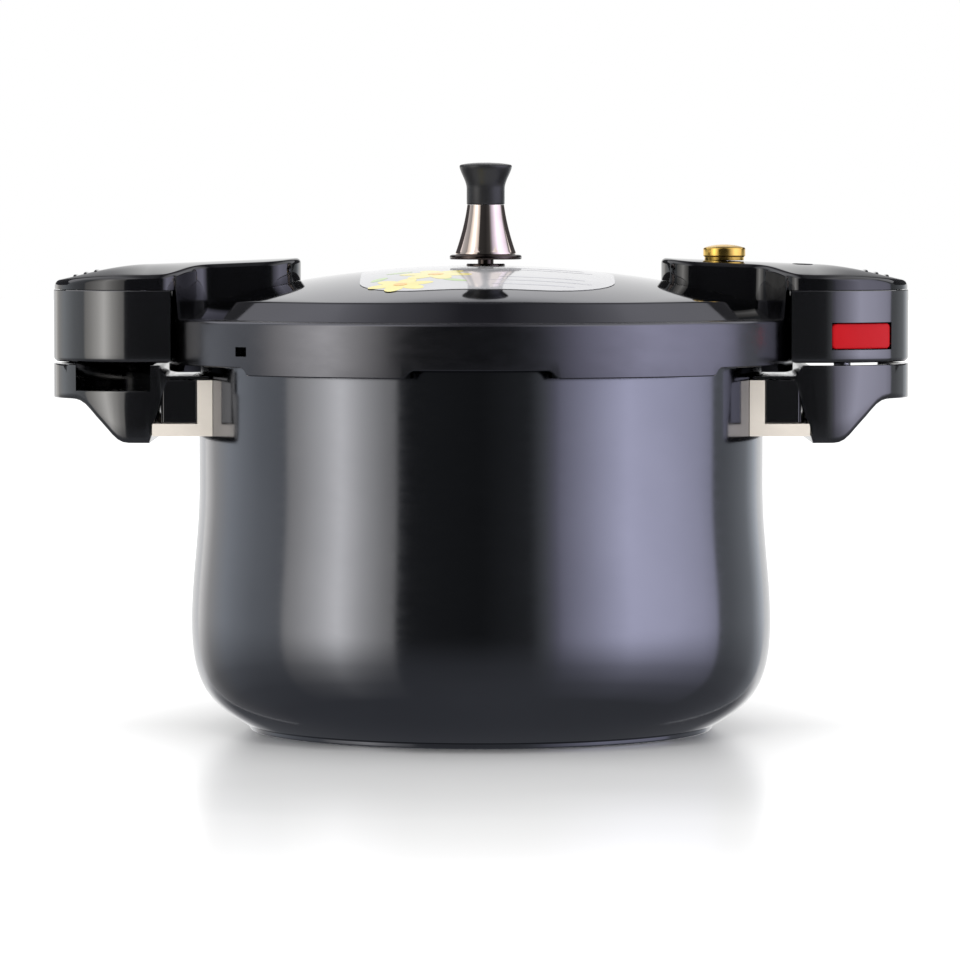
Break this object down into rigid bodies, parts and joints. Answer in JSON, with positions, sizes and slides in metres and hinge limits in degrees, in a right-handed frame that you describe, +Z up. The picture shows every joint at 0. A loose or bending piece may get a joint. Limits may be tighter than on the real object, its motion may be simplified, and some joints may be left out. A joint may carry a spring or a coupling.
{
  "type": "pressure cooker",
  "caption": "Stovetop pressure cooker with a bayonet lid, side handles, a lift-off pressure weight, a steam valve and a push-button lid lock.",
  "frame": {"origin": "middle of the flat base, on the hob's surface", "axes": "+Z up through the vent pipe, +X towards the handle with the steam valve and the lock button, front at -Y"},
  "size_m": [0.405, 0.2954, 0.2681],
  "materials": {
    "anodised_dark": "glossy dark grey anodised, faint spun lines",
    "anodised_lid": "satin dark grey anodised",
    "champagne_metal": "polished champagne metal",
    "steel": "plain bright steel",
    "black_moulding": "gloss black phenolic moulding",
    "black_gloss": "high gloss black phenolic moulding",
    "weight_cap_black": "satin black heat-proof plastic",
    "weight_bronze": "polished bronze tinted plating",
    "weight_dark": "dark polished metal",
    "silicone": "grey food-grade silicone",
    "label_film": "semi-gloss white film with a plain printed flower",
    "gold_anodised": "polished gold anodised",
    "bush_brass": "turned brass",
    "button_red": "gloss red plastic",
    "inner_nylon": "natural nylon"
  },
  "bodies": {
    "pot": {"pot_body": "anodised_dark", "handle_bracket_right": "champagne_metal", "handle_bracket_left": "champagne_metal", "bracket_rivets": "steel", "body_handle_right": "black_moulding", "body_handle_left": "black_moulding", "body_handle_screws": "steel"},
    "lid": {"lid_shell": "anodised_lid", "lid_handle_screws": "steel", "handle_cover_screws": "steel", "vent_nut": "steel", "vent_filter": "steel", "latch_spring": "steel", "lid_handle_base_right": "black_moulding", "lid_handle_base_left": "black_moulding", "lid_handle_cover_right": "black_gloss", "lid_handle_cover_left": "black_gloss", "vent_pipe": "weight_dark", "lid_gasket": "silicone", "vent_washer": "silicone", "lid_label": "label_film", "valve_bush": "bush_brass", "button_guide": "inner_nylon"},
    "pressure_weight": {"weight_flange": "weight_dark", "weight_bell": "weight_bronze", "weight_needle": "steel", "weight_cap": "weight_cap_black"},
    "steam_valve": {"valve_knob": "gold_anodised", "valve_stem": "steel", "valve_seal": "silicone"},
    "lock_button": {"lock_button": "button_red", "lock_slider": "inner_nylon"},
    "lock_latch": {"latch_bolt": "steel", "latch_pin": "steel"}
  },
  "joints": [
    {"name": "lid_turn", "type": "hinge", "parent": "pot", "child": "lid", "pos_m": [0, 0, 0.185], "axis": [0, 0, 1], "range_deg": [0, 30]},
    {"name": "weight_lift", "type": "slide", "parent": "lid", "child": "pressure_weight", "axis": [0, 0, 1], "range_m": [0, 0.025]},
    {"name": "valve_rise", "type": "slide", "parent": "lid", "child": "steam_valve", "axis": [0, 0, 1], "range_m": [0, 0.003]},
    {"name": "button_push", "type": "slide", "parent": "lid", "child": "lock_button", "axis": [-0.5, 0.866, 0], "range_m": [0, 0.004], "stiffness_N_per_m": 200},
    {"name": "latch_rise", "type": "slide", "parent": "lid", "child": "lock_latch", "axis": [0, 0, 1], "range_m": [0, 0.003], "deforming": ["latch_spring"]}
  ],
  "couplings": [
    {"joint": "latch_rise", "follows": "button_push", "ratio": 0.75}
  ]
}
